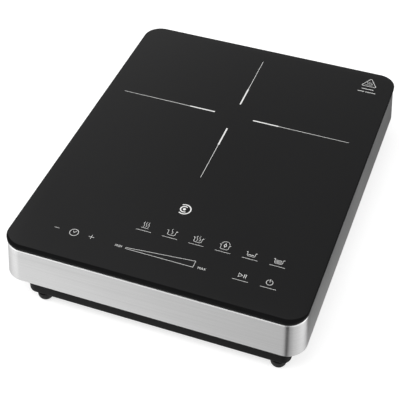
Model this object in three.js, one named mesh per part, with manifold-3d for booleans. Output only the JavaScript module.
// Portable single-zone induction cooktop: a glass-ceramic top on a brushed steel housing,
// a black moulded base on four rubber feet, and the coil, fan, power electronics and
// touch controls inside. Millimetres, +Z up, the front faces -Y. The origin lies on the
// surface that the cooktop stands on, below the centre of the glass.

import * as THREE from 'three';
import { mergeVertices } from 'three/addons/utils/BufferGeometryUtils.js';
import Module from 'manifold-3d';

const wasm = await Module();
wasm.setup();

// ---------------------------------------------------------------- driving dimensions

// Glass plate and steel housing
const GLASS_WIDTH = 290;
const GLASS_DEPTH = 372;
const GLASS_THICKNESS = 4;
const GLASS_EDGE = 0.9;
const CORNER_RADIUS = 19;
const HOUSING_HEIGHT = 40.2;
const HOUSING_SHEET = 0.8;
const HOUSING_TOP_INSET = 0.5;
const HOUSING_FLARE = 2.5;
const HOUSING_BEND = 1.5;
const TOP_FLANGE = 9;
const SEAL_THICKNESS = 0.4;
const SEAL_INSET = 3;
const SEAL_WIDTH = 5;

// Moulded base, its feet and its fixings
const BASE_HEIGHT = 15.3;
const BASE_WALL = 2.4;
const BASE_RADIUS = 8;
const BASE_FILLET = 4;
const BASE_MARGIN_LEFT = 22;
const BASE_MARGIN_RIGHT = 9.5;
const BASE_MARGIN_FRONT = 0.5;
const BASE_MARGIN_REAR = 12;
const BASE_LAP = 12;
const FOOT_HEIGHT = 9.1;
const FOOT_RADIUS = 7.6;
const FOOT_FLAT = 3;
const FOOT_DOME = 6;
const FOOT_STEM = 2.6;
const FOOT_BARB = 0.7;
const FOOT_MARGIN_LEFT = 14.8;
const FOOT_MARGIN_RIGHT = 11.5;
const FOOT_MARGIN_FRONT = 8;
const FOOT_MARGIN_REAR = 11.5;
const SCREW_RADIUS = 1.5;
const SCREW_HEAD_RADIUS = 3.2;
const SCREW_HEAD_HEIGHT = 2.2;
const SCREW_BITE = 4;
const SCREW_SINK = 3.6;
const SCREW_BOSS_WALL = 1.4;
const SCREW_MARGIN = 9;
const SCREW_MARGIN_END = 41.5;
const VENT_WIDTH = 3;
const VENT_PITCH = 6.4;
const VENT_RIB = 4;
const REAR_VENT_COUNT = 16;
const REAR_VENT_HEIGHT = 7;
const GLAND_BORE = 3.4;
const GLAND_WALL = 0.8;
const GLAND_FLANGE = 0.7;
const GLAND_FLANGE_THICKNESS = 1.8;
const GLAND_FROM_CENTRE = 95;

// Cooking zone: coil, ferrites, carrier plate and temperature sensor
const ZONE_X = -1.8;
const ZONE_FROM_REAR = 124;
const COIL_INNER = 27;
const COIL_OUTER = 84;
const COIL_WIRE = 4.8;
const COIL_PITCH = 5.6;
const COIL_END_ANGLE = -110;
const COIL_RIM = 6;
const FORMER_THICKNESS = 3.2;
const FORMER_HOLE = 17;
const FERRITE_COUNT = 8;
const FERRITE_WIDTH = 12;
const FERRITE_THICKNESS = 5;
const PLATE_THICKNESS = 1.5;
const POST_COUNT = 4;
const POST_RADIUS = 4;
const POST_PIN = 2.2;
const SHEET_THICKNESS = 0.6;
const SHEET_BELOW_GLASS = 0.9;
const SENSOR_RADIUS = 4.6;
const SENSOR_TRAVEL = 1.5;
const SENSOR_SLEEVE = 1.8;
const SPRING_WIRE = 0.8;
const SPRING_TURNS = 4;

// Fan below the coil
const FAN_SIZE = 92;
const FAN_HEIGHT = 25;
const FAN_WALL = 2.6;
const FAN_BEHIND_ZONE = 20;
const FAN_HUB = 18;
const FAN_TIP_GAP = 1.6;
const FAN_BLADES = 7;
const FAN_SHAFT = 1.5;

// Power board and touch control board
const BOARD_THICKNESS = 1.6;
const BOARD_STANDOFF = 6;
const MAIN_BOARD_WIDTH = 150;
const MAIN_BOARD_DEPTH = 104;
const MAIN_BOARD_FROM_FRONT = 15;
const MAIN_BOARD_FROM_MIDDLE = 6.5;
const CONTROL_MARGIN_LEFT = 35;
const CONTROL_MARGIN_RIGHT = 29;
const CONTROL_DEPTH = 46;
const CONTROL_FROM_FRONT = 22;
const CONTROL_BELOW_GLASS = 4;
const DISPLAY_WIDTH = 34;
const DISPLAY_DEPTH = 15;
const SINK_WIDTH = 60;
const SINK_DEPTH = 42;
const SINK_HEIGHT = 22;
const SINK_FINS = 9;
const LEAD_RADIUS = 1.6;
const SMALL_LEAD_RADIUS = 1.1;

// Places on the power board, across and along it from its middle
const SINK_PLACE = [-38, 24];
const RESONANCE_PLACE = [20, 34];
const SMOOTHING_PLACE = [56, 34];
const SUPPRESSION_PLACE = [54, -38];
const CHOKE_PLACE = [17, 2];
const TRANSFORMER_PLACE = [-10, -32];
const ELECTROLYTIC_PLACE = [18, -34];
const FUSE_PLACE = [54, -18];
const TERMINAL_PLACE = [58, 6];
const BUZZER_PLACE = [-60, -38];
const RIBBON_ACROSS = 41;

// Clearances
const FIT = 0.3;
const SEAT = 0.1;

// ---------------------------------------------------------------- levels and places

const BASE_Z = FOOT_HEIGHT;
const FLOOR_Z = BASE_Z + BASE_WALL;
const BASE_TOP_Z = BASE_Z + BASE_HEIGHT;
const HOUSING_Z = BASE_TOP_Z + SEAT;
const HOUSING_TOP_Z = HOUSING_Z + HOUSING_HEIGHT;
const SEAL_Z = HOUSING_TOP_Z + SEAT;
const GLASS_Z = SEAL_Z + SEAL_THICKNESS + SEAT;

const BASE_WIDTH = GLASS_WIDTH - BASE_MARGIN_LEFT - BASE_MARGIN_RIGHT;
const BASE_DEPTH = GLASS_DEPTH - BASE_MARGIN_FRONT - BASE_MARGIN_REAR;
const BASE_X = (BASE_MARGIN_LEFT - BASE_MARGIN_RIGHT) / 2;
const BASE_Y = (BASE_MARGIN_FRONT - BASE_MARGIN_REAR) / 2;
const BASE_FRONT = BASE_Y - BASE_DEPTH / 2;
const BASE_REAR = BASE_Y + BASE_DEPTH / 2;

const ZONE_Y = GLASS_DEPTH / 2 - ZONE_FROM_REAR;
const SHEET_Z = GLASS_Z - SHEET_BELOW_GLASS - SHEET_THICKNESS;
const COIL_Z = SHEET_Z - FIT - COIL_WIRE / 2;
const FORMER_Z = COIL_Z - COIL_WIRE / 2 - FIT - FORMER_THICKNESS;
const FORMER_RADIUS = COIL_OUTER + COIL_RIM;
const FERRITE_Z = FORMER_Z - FIT - FERRITE_THICKNESS;
const PLATE_Z = FERRITE_Z - FIT - PLATE_THICKNESS;
const POST_CIRCLE = FORMER_RADIUS + POST_RADIUS + 4;

const FAN_X = ZONE_X;
const FAN_Y = ZONE_Y + FAN_BEHIND_ZONE;
const FAN_Z = FLOOR_Z + FIT;
const FAN_BORE = FAN_SIZE / 2 - FAN_WALL;

const MAIN_X = BASE_X + MAIN_BOARD_FROM_MIDDLE;
const MAIN_Y = BASE_FRONT + MAIN_BOARD_FROM_FRONT + MAIN_BOARD_DEPTH / 2;
const MAIN_Z = FLOOR_Z + BOARD_STANDOFF + SEAT;
const MAIN_TOP_Z = MAIN_Z + BOARD_THICKNESS;
const PART_Z = MAIN_TOP_Z + SEAT;

const CONTROL_WIDTH = GLASS_WIDTH - CONTROL_MARGIN_LEFT - CONTROL_MARGIN_RIGHT;
const CONTROL_X = (CONTROL_MARGIN_LEFT - CONTROL_MARGIN_RIGHT) / 2;
const CONTROL_Y = -GLASS_DEPTH / 2 + CONTROL_FROM_FRONT + CONTROL_DEPTH / 2;
const CONTROL_Z = GLASS_Z - CONTROL_BELOW_GLASS - BOARD_THICKNESS;

const GLAND_Z = (FLOOR_Z + BASE_TOP_Z) / 2;

// ---------------------------------------------------------------- materials

function finish(color, roughness, metalness = 0) {
  return new THREE.MeshStandardMaterial({ color, roughness, metalness });
}

const GLASS = finish(0x111214, 0.12);
const SILICONE = finish(0x161616, 0.7);
const STEEL = finish(0xb9bbbd, 0.32, 1);
const BLACK_PLASTIC = finish(0x18181a, 0.55);
const RUBBER = finish(0x101010, 0.85);
const ZINC = finish(0xa7a9ab, 0.35, 1);
const MICA = finish(0xb9b4a4, 0.8);
const PHENOLIC = finish(0x2b221a, 0.7);
const COPPER = finish(0xb4622d, 0.4, 1);
const FERRITE = finish(0x2a2a2d, 0.75);
const ALUMINIUM = finish(0xc2c5c8, 0.4, 1);
const BOARD = finish(0x1c5a34, 0.5);
const EPOXY = finish(0x1d1d20, 0.45);
const FILM_BOX = finish(0xb5632a, 0.5);
const YELLOW_TAPE = finish(0xc9b23c, 0.55);
const WHITE_NYLON = finish(0xd9d7cf, 0.5);
const LEAD_WHITE = finish(0xd6d3c8, 0.6);
const LEAD_BLACK = finish(0x1a1a1a, 0.6);

// ---------------------------------------------------------------- shared shapes

const cooktop = new THREE.Group();

function add(name, geometry, material) {
  const mesh = new THREE.Mesh(geometry, material);
  mesh.name = name;
  cooktop.add(mesh);
  return mesh;
}

function solid(geometry) {
  const bare = geometry.index ? geometry.toNonIndexed() : geometry.clone();
  bare.deleteAttribute('normal');
  bare.deleteAttribute('uv');
  const merged = mergeVertices(bare, 1e-4);
  return new wasm.Manifold(new wasm.Mesh({
    numProp: 3,
    vertProperties: merged.attributes.position.array,
    triVerts: new Uint32Array(merged.index.array),
  }));
}

function surface(body) {
  const mesh = body.getMesh();
  const geometry = new THREE.BufferGeometry();
  geometry.setAttribute('position', new THREE.BufferAttribute(mesh.vertProperties, 3));
  geometry.setIndex(new THREE.BufferAttribute(mesh.triVerts, 1));
  geometry.computeVertexNormals();
  return geometry;
}

function cut(body, ...tools) {
  return tools.reduce((rest, tool) => rest.subtract(solid(tool)), body);
}

function join(body, ...others) {
  return others.reduce((sum, other) => sum.add(solid(other)), body);
}

// A rounded rectangle drawn as a stack of outlines, each pulled in by inset at height z,
// and closed flat at both ends.
function stackedBlock({ width, depth, radius, x = 0, y = 0, levels, segments = 6 }) {
  const corners = [[1, 1, 0], [-1, 1, 1], [-1, -1, 2], [1, -1, 3]];
  const ring = corners.flatMap(([sx, sy, quarter]) => Array.from({ length: segments + 1 }, (_, i) => {
    const angle = (quarter + i / segments) * Math.PI / 2;
    return [
      sx * (width / 2 - radius), sy * (depth / 2 - radius),
      Math.cos(angle), Math.sin(angle),
    ];
  }));
  const count = ring.length;
  const positions = levels.flatMap(([inset, z]) => ring.flatMap(([cx, cy, dx, dy]) => [
    x + cx + (radius - inset) * dx, y + cy + (radius - inset) * dy, z,
  ]));
  positions.push(x, y, levels[0][1], x, y, levels.at(-1)[1]);
  const low = levels.length * count;
  const faces = [];
  for (let i = 0; i < count; i += 1) {
    const j = (i + 1) % count;
    faces.push(low, j, i);
    for (let k = 0; k + 1 < levels.length; k += 1) {
      const a = k * count;
      const b = a + count;
      faces.push(a + i, a + j, b + j, a + i, b + j, b + i);
    }
    const top = (levels.length - 1) * count;
    faces.push(low + 1, top + i, top + j);
  }
  const geometry = new THREE.BufferGeometry();
  geometry.setAttribute('position', new THREE.Float32BufferAttribute(positions, 3));
  geometry.setIndex(faces);
  geometry.computeVertexNormals();
  return geometry;
}

// Points of a quarter bend between an inset and a height, as [inset, z] pairs.
function bend(inset, z, radius, from, steps = 2) {
  return Array.from({ length: steps + 1 }, (_, i) => {
    const angle = from + (i / steps) * Math.PI / 2;
    return [inset - radius * Math.cos(angle), z + radius * Math.sin(angle)];
  });
}

function roundedOutline(width, depth, radius, x = 0, y = 0) {
  const shape = new THREE.Shape();
  const w = width / 2 - radius;
  const d = depth / 2 - radius;
  shape.absarc(x + w, y + d, radius, 0, Math.PI / 2);
  shape.absarc(x - w, y + d, radius, Math.PI / 2, Math.PI);
  shape.absarc(x - w, y - d, radius, Math.PI, Math.PI * 1.5);
  shape.absarc(x + w, y - d, radius, Math.PI * 1.5, Math.PI * 2);
  shape.closePath();
  return shape;
}

function disc(radius, x = 0, y = 0) {
  const shape = new THREE.Shape();
  shape.absarc(x, y, radius, 0, Math.PI * 2);
  return shape;
}

function polygon(points) {
  return new THREE.Shape(points.map(([x, y]) => new THREE.Vector2(x, y)));
}

function slab(shape, z, height, segments = 3) {
  const geometry = new THREE.ExtrudeGeometry(shape, {
    depth: height, bevelEnabled: false, curveSegments: segments, steps: 1,
  });
  return geometry.translate(0, 0, z);
}

function block(width, depth, height, x, y, z) {
  return new THREE.BoxGeometry(width, depth, height).translate(x, y, z + height / 2);
}

// A block with rounded upright edges and eased top and bottom edges.
function softBlock(width, depth, height, x, y, z, edge = 0.8) {
  const geometry = new THREE.ExtrudeGeometry(roundedOutline(width - 2 * edge, depth - 2 * edge, edge), {
    depth: height - 2 * edge, bevelEnabled: true, bevelThickness: edge, bevelSize: edge,
    bevelSegments: 1, curveSegments: 1, steps: 1,
  });
  return geometry.translate(x, y, z + edge);
}

function rod(radius, height, x, y, z, sides = 20) {
  return new THREE.CylinderGeometry(radius, radius, height, sides)
    .rotateX(Math.PI / 2)
    .translate(x, y, z + height / 2);
}

// A turned piece about an upright axis, from [radius, z] pairs listed from the bottom up.
function turned(profile, x, y, sides = 20) {
  const points = profile.map(([radius, z]) => new THREE.Vector2(radius, z));
  return new THREE.LatheGeometry(points, sides).rotateX(Math.PI / 2).translate(x, y, 0);
}

function tube(points, radius, steps, sides = 8) {
  const path = new THREE.CatmullRomCurve3(points.map((p) => new THREE.Vector3(...p)));
  const shape = polygon(Array.from({ length: sides }, (_, i) => {
    const angle = (i / sides) * Math.PI * 2;
    return [radius * Math.cos(angle), radius * Math.sin(angle)];
  }));
  return new THREE.ExtrudeGeometry(shape, { steps, bevelEnabled: false, extrudePath: path });
}

function around(count, radius, x, y, start = 0) {
  return Array.from({ length: count }, (_, i) => {
    const angle = start + (i / count) * Math.PI * 2;
    return { x: x + radius * Math.cos(angle), y: y + radius * Math.sin(angle), angle };
  });
}

// ---------------------------------------------------------------- glass and housing

function glassTop() {
  const geometry = new THREE.ExtrudeGeometry(
    roundedOutline(GLASS_WIDTH - 2 * GLASS_EDGE, GLASS_DEPTH - 2 * GLASS_EDGE, CORNER_RADIUS - GLASS_EDGE),
    {
      depth: GLASS_THICKNESS - 2 * GLASS_EDGE, bevelEnabled: true, bevelThickness: GLASS_EDGE,
      bevelSize: GLASS_EDGE, bevelSegments: 2, curveSegments: 5, steps: 1,
    },
  );
  add('glass_top', geometry.translate(0, 0, GLASS_Z + GLASS_EDGE), GLASS);
}

function flatRing(outerInset, width, z, height) {
  const outline = (inset) => roundedOutline(
    GLASS_WIDTH - 2 * inset, GLASS_DEPTH - 2 * inset, CORNER_RADIUS - inset,
  );
  const shape = outline(outerInset);
  shape.holes.push(outline(outerInset + width));
  return slab(shape, z, height);
}

function glassSeal() {
  add('glass_seal', flatRing(SEAL_INSET, SEAL_WIDTH, SEAL_Z, SEAL_THICKNESS), SILICONE);
}

function housingLevels(skin) {
  const foot = HOUSING_TOP_INSET - HOUSING_FLARE + skin;
  const head = HOUSING_TOP_INSET + skin;
  const radius = HOUSING_BEND - skin / 2;
  const low = HOUSING_Z + skin;
  const high = HOUSING_TOP_Z - skin;
  return [
    ...bend(foot + radius, low + radius, radius, -Math.PI / 2),
    ...bend(head + radius, high - radius, radius, 0),
  ];
}

function baseOutline(inset) {
  return roundedOutline(
    BASE_WIDTH - 2 * inset, BASE_DEPTH - 2 * inset, Math.max(BASE_RADIUS - inset, 3), BASE_X, BASE_Y,
  );
}

function screwPlaces() {
  const x = BASE_WIDTH / 2 - SCREW_MARGIN;
  const y = BASE_DEPTH / 2 - SCREW_MARGIN_END;
  const names = [['front', -y], ['middle', 0], ['rear', y]];
  return names.flatMap(([row, dy]) => [['left', -x], ['right', x]].map(([side, dx]) => ({
    name: `housing_screw_${row}_${side}`, x: BASE_X + dx, y: BASE_Y + dy,
  })));
}

function steelHousing() {
  const size = { width: GLASS_WIDTH, depth: GLASS_DEPTH, radius: CORNER_RADIUS };
  const mouth = roundedOutline(
    GLASS_WIDTH - 2 * TOP_FLANGE, GLASS_DEPTH - 2 * TOP_FLANGE, CORNER_RADIUS - TOP_FLANGE,
  );
  const shell = cut(
    solid(stackedBlock({ ...size, levels: housingLevels(0) })),
    stackedBlock({ ...size, levels: housingLevels(HOUSING_SHEET) }),
    slab(mouth, HOUSING_TOP_Z - 3, 6),
    slab(baseOutline(BASE_LAP), HOUSING_Z - 3, 6),
    ...screwPlaces().map(({ x, y }) => rod(SCREW_RADIUS + FIT, 6, x, y, HOUSING_Z - 3, 8)),
  );
  add('steel_housing', surface(shell), STEEL);
}

function topFrame() {
  const skirtInset = HOUSING_TOP_INSET + HOUSING_SHEET + HOUSING_BEND;
  const top = HOUSING_TOP_Z - HOUSING_SHEET - FIT;
  const thickness = 2.4;
  const skirt = 7;
  const frame = join(
    solid(flatRing(skirtInset, TOP_FLANGE + 3, top - thickness, thickness)),
    flatRing(skirtInset, 2, top - thickness - skirt, skirt + 0.5),
  );
  add('top_frame', surface(frame), BLACK_PLASTIC);
}

// ---------------------------------------------------------------- base, feet, fixings

function footPlaces() {
  const left = BASE_X - BASE_WIDTH / 2 + FOOT_MARGIN_LEFT;
  const right = BASE_X + BASE_WIDTH / 2 - FOOT_MARGIN_RIGHT;
  const front = BASE_FRONT + FOOT_MARGIN_FRONT;
  const rear = BASE_REAR - FOOT_MARGIN_REAR;
  return Object.entries({ front, rear }).flatMap(
    ([row, y]) => Object.entries({ left, right }).map(([side, x]) => ({ name: `foot_${row}_${side}`, x, y })),
  );
}

// Straight intake slots under the fan, cut off by a circle and split by a middle rib.
function intakeSlots() {
  const reach = FAN_BORE - 2;
  const rows = Math.floor((reach - VENT_WIDTH) / VENT_PITCH);
  const slots = [];
  for (let row = -rows; row <= rows; row += 1) {
    const y = row * VENT_PITCH;
    const half = Math.sqrt(reach ** 2 - (Math.abs(y) + VENT_WIDTH / 2) ** 2);
    const length = half - VENT_RIB / 2;
    for (const side of [-1, 1]) {
      const x = FAN_X + side * (VENT_RIB / 2 + length / 2);
      slots.push(block(length, VENT_WIDTH, BASE_WALL + 2, x, FAN_Y + y, BASE_Z - 1));
    }
  }
  return slots;
}

function rearSlots() {
  const z = BASE_TOP_Z - REAR_VENT_HEIGHT - 2.4;
  return Array.from({ length: REAR_VENT_COUNT }, (_, i) => {
    const x = FAN_X + (i - (REAR_VENT_COUNT - 1) / 2) * VENT_PITCH;
    return block(VENT_WIDTH, 4 * BASE_WALL, REAR_VENT_HEIGHT, x, BASE_REAR, z);
  });
}

function boardPosts() {
  const x = MAIN_BOARD_WIDTH / 2 - 5;
  const y = MAIN_BOARD_DEPTH / 2 - 5;
  return [[-x, -y], [x, -y], [-x, y], [x, y]].map(
    ([dx, dy]) => rod(3, BOARD_STANDOFF + 1, MAIN_X + dx, MAIN_Y + dy, FLOOR_Z - 1, 8),
  );
}

function baseTray() {
  const size = {
    width: BASE_WIDTH, depth: BASE_DEPTH, radius: BASE_RADIUS, x: BASE_X, y: BASE_Y, segments: 4,
  };
  const outside = stackedBlock({
    ...size,
    levels: [...bend(BASE_FILLET, BASE_Z + BASE_FILLET, BASE_FILLET, -Math.PI / 2), [0, BASE_TOP_Z]],
  });
  const inside = stackedBlock({ ...size, levels: [[BASE_WALL, FLOOR_Z], [BASE_WALL, BASE_TOP_Z + 1]] });
  const bossRadius = SCREW_HEAD_RADIUS + FIT + SCREW_BOSS_WALL;
  const bosses = screwPlaces().map(
    ({ x, y }) => rod(bossRadius, BASE_HEIGHT - 1, x, y, BASE_Z + 1, 12),
  );
  const sinks = screwPlaces().map(
    ({ x, y }) => rod(SCREW_HEAD_RADIUS + FIT, SCREW_SINK + 1, x, y, BASE_Z - 1, 12),
  );
  const screwHoles = screwPlaces().map(
    ({ x, y }) => rod(SCREW_RADIUS + FIT, BASE_HEIGHT + 2, x, y, BASE_Z - 1, 8),
  );
  const footHoles = footPlaces().map(
    ({ x, y }) => rod(FOOT_STEM + FIT, BASE_WALL + 2, x, y, BASE_Z - 1, 10),
  );
  const glandHole = new THREE.CylinderGeometry(
    GLAND_BORE + GLAND_WALL + FIT, GLAND_BORE + GLAND_WALL + FIT, 4 * BASE_WALL, 20,
  ).translate(GLAND_FROM_CENTRE, BASE_REAR, GLAND_Z);
  const tray = cut(
    join(cut(solid(outside), inside), ...bosses, ...boardPosts()),
    ...sinks, ...screwHoles, ...footHoles, glandHole, ...intakeSlots(), ...rearSlots(),
  );
  add('base_tray', surface(tray), BLACK_PLASTIC);
}

// Rubber foot: a domed pad below the base, a stem through it and a barb that holds it.
function feet() {
  const steps = 4;
  const dome = Array.from({ length: steps + 1 }, (_, i) => {
    const tilt = (i / steps) * Math.PI / 2;
    return [FOOT_FLAT + (FOOT_RADIUS - FOOT_FLAT) * Math.sin(tilt), FOOT_DOME * (1 - Math.cos(tilt))];
  });
  const barb = FOOT_STEM + FIT + FOOT_BARB;
  const catchZ = FLOOR_Z + FIT;
  const tipZ = catchZ + 2.4;
  const profile = [
    [0, 0], ...dome, [FOOT_RADIUS, BASE_Z - SEAT], [FOOT_STEM, BASE_Z - SEAT],
    [FOOT_STEM, catchZ], [barb, catchZ], [FOOT_STEM - 0.4, tipZ], [0, tipZ],
  ];
  for (const { name, x, y } of footPlaces()) add(name, turned(profile, x, y, 16), RUBBER);
}

// Pan-head screw driven up from below, with a cross recess in its head.
function housingScrews() {
  const headTop = BASE_Z + SCREW_SINK - FIT;
  const head = headTop - SCREW_HEAD_HEIGHT;
  const tip = HOUSING_Z + HOUSING_SHEET + SCREW_BITE;
  for (const { name, x, y } of screwPlaces()) {
    const profile = [
      [0, head], [SCREW_HEAD_RADIUS - 1.2, head], [SCREW_HEAD_RADIUS, head + 1],
      [SCREW_HEAD_RADIUS, headTop], [SCREW_RADIUS, headTop],
      [SCREW_RADIUS, tip - 2], [0, tip],
    ];
    const recess = [0, Math.PI / 2].map(
      (turn) => new THREE.BoxGeometry(3.4, 0.8, 2.4).rotateZ(turn).translate(x, y, head),
    );
    add(name, surface(cut(solid(turned(profile, x, y, 12)), ...recess)), ZINC);
  }
}

// Grommet in the rear wall that the mains cord passes through.
function cableGland() {
  const neck = GLAND_BORE + GLAND_WALL;
  const rim = neck + FIT + GLAND_FLANGE;
  const outside = FIT;
  const inside = -BASE_WALL - FIT;
  const profile = [
    [GLAND_BORE, outside + GLAND_FLANGE_THICKNESS], [rim, outside + GLAND_FLANGE_THICKNESS],
    [rim, outside], [neck, outside], [neck, inside], [rim - FIT, inside],
    [rim - FIT, inside - GLAND_FLANGE_THICKNESS], [GLAND_BORE, inside - GLAND_FLANGE_THICKNESS],
  ];
  const closed = [...profile, profile[0]].reverse().map(
    ([radius, along]) => new THREE.Vector2(radius, along),
  );
  const ring = new THREE.LatheGeometry(closed, 20);
  add('cable_gland', ring.translate(GLAND_FROM_CENTRE, BASE_REAR, GLAND_Z), RUBBER);
}

// ---------------------------------------------------------------- cooking zone

function insulationSheet() {
  const shape = disc(FORMER_RADIUS + 2, ZONE_X, ZONE_Y);
  shape.holes.push(disc(SENSOR_RADIUS + 3, ZONE_X, ZONE_Y));
  add('insulation_sheet', slab(shape, SHEET_Z, SHEET_THICKNESS, 12), MICA);
}

function coilFormer() {
  const shape = disc(FORMER_RADIUS, ZONE_X, ZONE_Y);
  shape.holes.push(disc(FORMER_HOLE, ZONE_X, ZONE_Y));
  const middle = (COIL_INNER + COIL_OUTER) / 2;
  const length = COIL_OUTER - COIL_INNER - 14;
  const windows = around(FERRITE_COUNT, middle, 0, 0, Math.PI / FERRITE_COUNT).map(
    ({ x, y, angle }) => new THREE.BoxGeometry(length, 8, FORMER_THICKNESS + 2)
      .rotateZ(angle)
      .translate(ZONE_X + x, ZONE_Y + y, FORMER_Z + FORMER_THICKNESS / 2),
  );
  add('coil_former', surface(cut(solid(slab(shape, FORMER_Z, FORMER_THICKNESS, 12)), ...windows)), PHENOLIC);
}

// Litz wire wound as one flat spiral from the middle outwards.
function coilWinding() {
  const turns = (COIL_OUTER - COIL_INNER - COIL_WIRE) / COIL_PITCH;
  const stepsPerTurn = 18;
  const steps = Math.round(turns * stepsPerTurn);
  const points = Array.from({ length: steps + 1 }, (_, i) => {
    const turn = (i / steps) * turns;
    const radius = COIL_INNER + COIL_WIRE / 2 + turn * COIL_PITCH;
    const angle = THREE.MathUtils.degToRad(COIL_END_ANGLE) + (turn - turns) * Math.PI * 2;
    return new THREE.Vector3(
      ZONE_X + radius * Math.cos(angle), ZONE_Y + radius * Math.sin(angle), COIL_Z,
    );
  });
  const path = new THREE.CatmullRomCurve3(points);
  const shape = polygon(around(6, COIL_WIRE / 2, 0, 0).map(({ x, y }) => [x, y]));
  const winding = new THREE.ExtrudeGeometry(shape, { steps, bevelEnabled: false, extrudePath: path });
  add('coil_winding', winding, COPPER);
}

function ferriteBars() {
  const middle = (COIL_INNER + COIL_OUTER) / 2;
  const length = COIL_OUTER - COIL_INNER + 2;
  around(FERRITE_COUNT, middle, ZONE_X, ZONE_Y).forEach(({ x, y, angle }, i) => {
    const bar = new THREE.BoxGeometry(length, FERRITE_WIDTH, FERRITE_THICKNESS)
      .rotateZ(angle)
      .translate(x, y, FERRITE_Z + FERRITE_THICKNESS / 2);
    add(`ferrite_bar_${i + 1}`, bar, FERRITE);
  });
}

function postPlaces() {
  return around(POST_COUNT, POST_CIRCLE, ZONE_X, ZONE_Y, Math.PI / POST_COUNT);
}

function coilPlate() {
  const body = solid(slab(disc(FORMER_RADIUS, ZONE_X, ZONE_Y), PLATE_Z, PLATE_THICKNESS, 12));
  const ears = postPlaces().map(({ angle }) => block(22, 16, PLATE_THICKNESS, POST_CIRCLE - 4, 0, 0)
    .rotateZ(angle)
    .translate(ZONE_X, ZONE_Y, PLATE_Z));
  const holes = postPlaces().map(({ x, y }) => rod(POST_PIN + FIT, 6, x, y, PLATE_Z - 3, 8));
  const middle = rod(FORMER_HOLE, 6, ZONE_X, ZONE_Y, PLATE_Z - 3, 20);
  add('coil_plate', surface(cut(join(body, ...ears), ...holes, middle)), ALUMINIUM);
}

function coilPosts() {
  const sides = ['rear_right', 'rear_left', 'front_left', 'front_right'];
  postPlaces().forEach(({ x, y }, i) => {
    const shoulder = PLATE_Z - FIT;
    const profile = [
      [0, FLOOR_Z + SEAT], [POST_RADIUS + 2, FLOOR_Z + SEAT], [POST_RADIUS + 2, FLOOR_Z + 2],
      [POST_RADIUS, FLOOR_Z + 3], [POST_RADIUS, shoulder], [POST_PIN, shoulder],
      [POST_PIN, PLATE_Z + PLATE_THICKNESS + 2.5], [0, PLATE_Z + PLATE_THICKNESS + 3],
    ];
    add(`coil_post_${sides[i]}`, turned(profile, x, y, 12), WHITE_NYLON);
  });
}

// Spring-loaded temperature probe in the middle of the coil, pressed up to the glass.
const CAP_TOP_Z = GLASS_Z - FIT;
const CAP_SKIRT = 6;
const SLEEVE_Z = FORMER_Z - 2;

function sensor() {
  const bore = SENSOR_RADIUS + FIT;
  const sleeve = bore + SENSOR_SLEEVE;
  const wall = 0.8;
  const sleeveTop = CAP_TOP_Z - SENSOR_TRAVEL - 1.2;
  const cap = [
    [0, CAP_TOP_Z - wall], [SENSOR_RADIUS - wall, CAP_TOP_Z - wall],
    [SENSOR_RADIUS - wall, CAP_TOP_Z - CAP_SKIRT], [SENSOR_RADIUS, CAP_TOP_Z - CAP_SKIRT],
    [SENSOR_RADIUS, CAP_TOP_Z - 0.6], [SENSOR_RADIUS - 0.6, CAP_TOP_Z], [0, CAP_TOP_Z],
  ];
  const holder = [
    [0, SLEEVE_Z], [sleeve, SLEEVE_Z], [sleeve, sleeveTop], [bore, sleeveTop],
    [bore, SLEEVE_Z + 1.6], [0, SLEEVE_Z + 1.6],
  ];
  add('sensor_cap', turned(cap, ZONE_X, ZONE_Y, 16), ALUMINIUM);
  const arms = [0, Math.PI / 2].map((turn) => block(2 * FORMER_HOLE - 2 * FIT, 3.2, 2, 0, 0, SLEEVE_Z)
    .rotateZ(turn + Math.PI / 4)
    .translate(ZONE_X, ZONE_Y, 0));
  const hollow = rod(bore, 12, ZONE_X, ZONE_Y, SLEEVE_Z + 1.6, 16);
  const body = cut(join(solid(turned(holder, ZONE_X, ZONE_Y, 16)), ...arms), hollow);
  add('sensor_holder', surface(body), WHITE_NYLON);
  sensorSpring(SLEEVE_Z + 1.6 + FIT, CAP_TOP_Z - wall - FIT);
}

function sensorSpring(low, high) {
  const radius = SENSOR_RADIUS - 0.8 - SPRING_WIRE / 2 - FIT;
  const perTurn = 10;
  const count = SPRING_TURNS * perTurn;
  const from = low + SPRING_WIRE / 2;
  const rise = high - low - SPRING_WIRE;
  const points = Array.from({ length: count + 1 }, (_, i) => {
    const angle = (i / perTurn) * Math.PI * 2;
    return [ZONE_X + radius * Math.cos(angle), ZONE_Y + radius * Math.sin(angle), from + rise * (i / count)];
  });
  add('sensor_spring', tube(points, SPRING_WIRE / 2, count, 5), ZINC);
}

// ---------------------------------------------------------------- fan

function fanFrame() {
  const outline = roundedOutline(FAN_SIZE, FAN_SIZE, 5, FAN_X, FAN_Y);
  outline.holes.push(disc(FAN_BORE, FAN_X, FAN_Y));
  const seat = 2;
  const struts = around(3, FAN_BORE / 2 + 4, 0, 0, Math.PI / 6).map(
    ({ x, y, angle }) => new THREE.BoxGeometry(FAN_BORE - 4, 4, seat)
      .rotateZ(angle)
      .translate(FAN_X + x, FAN_Y + y, FAN_Z + seat / 2),
  );
  const corner = FAN_SIZE / 2 - 5.5;
  const holes = [[1, 1], [1, -1], [-1, 1], [-1, -1]].map(
    ([sx, sy]) => rod(2.2, FAN_HEIGHT + 2, FAN_X + sx * corner, FAN_Y + sy * corner, FAN_Z - 1, 8),
  );
  const body = join(
    solid(slab(outline, FAN_Z, FAN_HEIGHT, 10)),
    ...struts, rod(FAN_HUB - 1, seat, FAN_X, FAN_Y, FAN_Z, 16),
  );
  add('fan_frame', surface(cut(body, ...holes)), BLACK_PLASTIC);
}

const STATOR_Z = FAN_Z + 2 + SEAT;
const STATOR_HEIGHT = 9;

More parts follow.
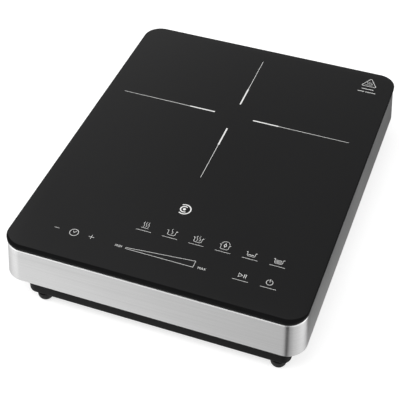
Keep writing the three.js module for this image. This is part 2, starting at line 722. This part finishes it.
function fanStator() {
  const shape = disc(FAN_HUB - 4, FAN_X, FAN_Y);
  shape.holes.push(disc(FAN_SHAFT + 0.4, FAN_X, FAN_Y));
  add('fan_stator', slab(shape, STATOR_Z, STATOR_HEIGHT, 6), COPPER);
}

// One blade: a sector of a ring, sheared upwards along its arc.
function fanBlade(angle) {
  const sweep = 0.62;
  const root = FAN_HUB - 0.6;
  const tip = FAN_BORE - FAN_TIP_GAP;
  const shape = new THREE.Shape();
  shape.absarc(0, 0, tip, -sweep / 2, sweep / 2, false);
  shape.absarc(0, 0, root, sweep / 2 + 0.12, -sweep / 2 + 0.12, true);
  const blade = slab(shape, 0, 1.5, 4);
  const place = blade.attributes.position;
  for (let i = 0; i < place.count; i += 1) {
    const turn = Math.atan2(place.getY(i), place.getX(i));
    place.setZ(i, place.getZ(i) + 16 * turn);
  }
  return blade.rotateZ(angle).translate(FAN_X, FAN_Y, FAN_Z + 15);
}

function fanImpeller() {
  const low = STATOR_Z + 1;
  const top = FAN_Z + FAN_HEIGHT - 2;
  const cup = [
    [FAN_SHAFT + 0.2, top - 2], [FAN_HUB - 2, top - 2], [FAN_HUB - 2, low], [FAN_HUB, low],
    [FAN_HUB, top - 1], [FAN_HUB - 1, top], [FAN_SHAFT + 0.2, top], [FAN_SHAFT + 0.2, top - 2],
  ];
  const hub = solid(turned(cup, FAN_X, FAN_Y, 20));
  const blades = around(FAN_BLADES, 1, 0, 0).map(({ angle }) => fanBlade(angle));
  add('fan_impeller', surface(join(hub, ...blades)), BLACK_PLASTIC);
  const shaft = rod(FAN_SHAFT, top - STATOR_Z - 1, FAN_X, FAN_Y, STATOR_Z + 0.5, 14);
  add('fan_shaft', shaft, ZINC);
}

// ---------------------------------------------------------------- power board

function boardPlate(width, depth, x, y, z) {
  return slab(roundedOutline(width, depth, 2, x, y), z, BOARD_THICKNESS, 3);
}

function mainBoard() {
  add('main_board', boardPlate(MAIN_BOARD_WIDTH, MAIN_BOARD_DEPTH, MAIN_X, MAIN_Y, MAIN_Z), BOARD);
}

function onBoard([across, along]) {
  return [MAIN_X + across, MAIN_Y + along];
}

function heatSink() {
  const fin = 1.6;
  const pitch = (SINK_WIDTH - fin) / (SINK_FINS - 1);
  const plate = 4;
  const outline = [[-SINK_WIDTH / 2, 0], [SINK_WIDTH / 2, 0]];
  for (let i = SINK_FINS - 1; i >= 0; i -= 1) {
    const left = -SINK_WIDTH / 2 + i * pitch;
    outline.push([left + fin, SINK_HEIGHT], [left, SINK_HEIGHT]);
    if (i > 0) outline.push([left, plate], [left - pitch + fin, plate]);
  }
  const [x, y] = onBoard(SINK_PLACE);
  const profile = slab(polygon(outline), -SINK_DEPTH / 2, SINK_DEPTH).rotateX(Math.PI / 2);
  add('heat_sink', profile.translate(x, y, PART_Z), ALUMINIUM);
}

// Power devices that stand on the board and lean flat on the heat sink's front.
function powerDevices() {
  const depth = 5;
  const [sinkX, sinkY] = onBoard(SINK_PLACE);
  const y = sinkY - SINK_DEPTH / 2 - FIT - depth / 2;
  const devices = [['igbt', -14, 16, 21], ['bridge_rectifier', 13, 24, 19]];
  for (const [name, across, width, height] of devices) {
    add(name, softBlock(width, depth, height, sinkX + across, y, PART_Z, 0.6), EPOXY);
  }
}

function filmCapacitors() {
  const boxes = [
    ['resonance_capacitor', RESONANCE_PLACE, 32, 22, 22, FILM_BOX],
    ['smoothing_capacitor', SMOOTHING_PLACE, 28, 22, 20, FILM_BOX],
    ['suppression_capacitor', SUPPRESSION_PLACE, 26, 13, 18, YELLOW_TAPE],
  ];
  for (const [name, place, width, depth, height, material] of boxes) {
    const [x, y] = onBoard(place);
    add(name, softBlock(width, depth, height, x, y, PART_Z), material);
  }
}

function chokeCoil() {
  const [x, y] = onBoard(CHOKE_PLACE);
  const ring = new THREE.TorusGeometry(10.5, 4.4, 7, 16);
  add('choke_coil', ring.translate(x, y, PART_Z + 4.6), COPPER);
}

function transformer() {
  const [x, y] = onBoard(TRANSFORMER_PLACE);
  const core = solid(softBlock(26, 22, 20, x, y, PART_Z));
  const waist = [-1, 1].map((side) => block(12, 5, 12, x, y + side * 11, PART_Z + 4));
  add('transformer', surface(cut(core, ...waist)), YELLOW_TAPE);
}

function electrolyticCapacitor() {
  const [x, y] = onBoard(ELECTROLYTIC_PLACE);
  const can = [
    [0, PART_Z], [6, PART_Z], [6.5, PART_Z + 0.6], [6.5, PART_Z + 2], [6, PART_Z + 2.6],
    [6.5, PART_Z + 3.2], [6.5, PART_Z + 19.5], [6, PART_Z + 20], [0, PART_Z + 20],
  ];
  add('electrolytic_capacitor', turned(can, x, y, 14), EPOXY);
}

function fuse() {
  const [x, y] = onBoard(FUSE_PLACE);
  const half = 11;
  const body = [
    [0, -half], [3.1, -half], [3.1, -half + 5], [2.6, -half + 5], [2.6, half - 5],
    [3.1, half - 5], [3.1, half], [0, half],
  ];
  const geometry = turned(body, 0, 0, 12).rotateY(Math.PI / 2);
  add('fuse', geometry.translate(x, y, PART_Z + 3.6), WHITE_NYLON);
}

function mainsTerminal() {
  const [x, y] = onBoard(TERMINAL_PLACE);
  const holes = [-5, 5].map((step) => rod(2, 20, x + step, y, PART_Z + 4, 12));
  add('mains_terminal', surface(cut(solid(softBlock(20, 12, 13, x, y, PART_Z)), ...holes)), WHITE_NYLON);
}

function buzzer() {
  const [x, y] = onBoard(BUZZER_PLACE);
  const can = [
    [0, PART_Z], [7, PART_Z], [7, PART_Z + 8], [6.6, PART_Z + 8.5], [1.4, PART_Z + 8.5],
    [1.4, PART_Z + 6], [0, PART_Z + 6],
  ];
  add('buzzer', turned(can, x, y, 20), EPOXY);
}

// ---------------------------------------------------------------- touch controls

function controlBoard() {
  add('control_board', boardPlate(CONTROL_WIDTH, CONTROL_DEPTH, CONTROL_X, CONTROL_Y, CONTROL_Z), BOARD);
  const [x, y] = [CONTROL_X - CONTROL_WIDTH / 2 + 26, CONTROL_Y + 12];
  const height = GLASS_Z - FIT - CONTROL_Z - BOARD_THICKNESS - SEAT - 0.6;
  const window = block(DISPLAY_WIDTH, DISPLAY_DEPTH, height, x, y, CONTROL_Z + BOARD_THICKNESS + SEAT);
  add('display_module', window, EPOXY);
}

function controlBracket() {
  const wall = 2;
  const floor = CONTROL_Z - SEAT - 5;
  const tray = cut(
    solid(slab(roundedOutline(CONTROL_WIDTH, CONTROL_DEPTH, 3, CONTROL_X, CONTROL_Y), floor, 5, 3)),
    slab(roundedOutline(CONTROL_WIDTH - 2 * wall, CONTROL_DEPTH - 2 * wall, 2, CONTROL_X, CONTROL_Y),
      floor + wall, 5, 3),
  );
  add('control_bracket', surface(tray), BLACK_PLASTIC);
}

// ---------------------------------------------------------------- inner leads

// Both coil leads, from the coil's inner and outer ends to the back of the power board.
function coilLeads() {
  const under = PLATE_Z - 5;
  const back = MAIN_BOARD_DEPTH / 2 - 4;
  const [ax, ay] = onBoard([4, back]);
  const [bx, by] = onBoard([-2, back]);
  const holeX = ZONE_X - 3;
  const holeY = ZONE_Y - FORMER_HOLE + LEAD_RADIUS + 1.5;
  add('coil_lead_inner', tube([
    [holeX, holeY, COIL_Z - 1], [holeX, holeY, FORMER_Z], [holeX, holeY, PLATE_Z - 1],
    [holeX, holeY - 4, under - 1], [holeX, ZONE_Y - 30, under], [ax, ZONE_Y - 80, under],
    [ax, ay + 14, under - 6], [ax, ay + 1, PART_Z + 12], [ax, ay, PART_Z + 0.4],
  ], LEAD_RADIUS, 26, 6), LEAD_BLACK);
  const angle = THREE.MathUtils.degToRad(COIL_END_ANGLE);
  const rim = (radius) => [ZONE_X + radius * Math.cos(angle), ZONE_Y + radius * Math.sin(angle)];
  const [ox, oy] = rim(COIL_OUTER + LEAD_RADIUS + 1);
  const [rx, ry] = rim(FORMER_RADIUS + LEAD_RADIUS + 4);
  add('coil_lead_outer', tube([
    [ox, oy, COIL_Z], [rx, ry, COIL_Z - 2], [rx, ry, FORMER_Z - 2], [rx, ry, PLATE_Z],
    [rx + 8, ry - 8, under - 2], [bx, by + 16, under - 8], [bx, by + 1, PART_Z + 12], [bx, by, PART_Z + 0.4],
  ], LEAD_RADIUS, 26, 6), LEAD_WHITE);
}

function smallLeads() {
  const [fx, fy] = onBoard([-60, MAIN_BOARD_DEPTH / 2 - 4]);
  const edge = FAN_X - FAN_SIZE / 2 - 3;
  add('fan_lead', tube([
    [edge, FAN_Y - 20, FAN_Z + 4], [edge, FAN_Y - 40, FLOOR_Z + 3], [edge, FAN_Y - 70, FLOOR_Z + 3],
    [fx, fy + 22, FLOOR_Z + 6], [fx, fy + 6, PART_Z + 8], [fx, fy, PART_Z + 5], [fx, fy - 1, PART_Z + 0.4],
  ], SMALL_LEAD_RADIUS, 22, 5), LEAD_BLACK);
  const [sx, sy] = onBoard([42, MAIN_BOARD_DEPTH / 2 - 4.5]);
  const start = SLEEVE_Z - SMALL_LEAD_RADIUS - 1;
  add('sensor_lead', tube([
    [ZONE_X + 1, ZONE_Y, start], [ZONE_X + 8, ZONE_Y - 2, start - 1.5],
    [ZONE_X + 12, ZONE_Y - 4, PLATE_Z - 3], [ZONE_X + 24, ZONE_Y - 40, PLATE_Z - 5],
    [ZONE_X + 36, ZONE_Y - 90, PLATE_Z - 7], [sx, sy + 20, PLATE_Z - 12],
    [sx, sy + 1, PART_Z + 10], [sx, sy, PART_Z + 0.4],
  ], SMALL_LEAD_RADIUS, 26, 5), LEAD_WHITE);
}

// Flat cable from the back of the touch board down to the power board.
function ribbonCable() {
  const thickness = 0.9;
  const width = 12;
  const back = CONTROL_Y + CONTROL_DEPTH / 2 + 2;
  const top = CONTROL_Z + 0.4;
  const low = PART_Z + 0.3;
  const shape = polygon([
    [back - 1.4, top], [back + thickness, top], [back + thickness, low + 5], [back + 4, low],
    [back + 4 - thickness, low], [back, low + 5 - thickness / 2], [back, top - thickness],
    [back - 1.4, top - thickness],
  ]);
  const cable = slab(shape, -width / 2, width).rotateX(Math.PI / 2).rotateZ(Math.PI / 2);
  add('ribbon_cable', cable.translate(MAIN_X + RIBBON_ACROSS, 0, 0), LEAD_WHITE);
}

// ---------------------------------------------------------------- assembly

glassTop();
glassSeal();
steelHousing();
topFrame();
baseTray();
feet();
housingScrews();
cableGland();
insulationSheet();
coilFormer();
coilWinding();
ferriteBars();
coilPlate();
coilPosts();
sensor();
fanFrame();
fanStator();
fanImpeller();
mainBoard();
heatSink();
powerDevices();
filmCapacitors();
chokeCoil();
transformer();
electrolyticCapacitor();
fuse();
mainsTerminal();
buzzer();
controlBoard();
controlBracket();
coilLeads();
smallLeads();
ribbonCable();

export default cooktop;
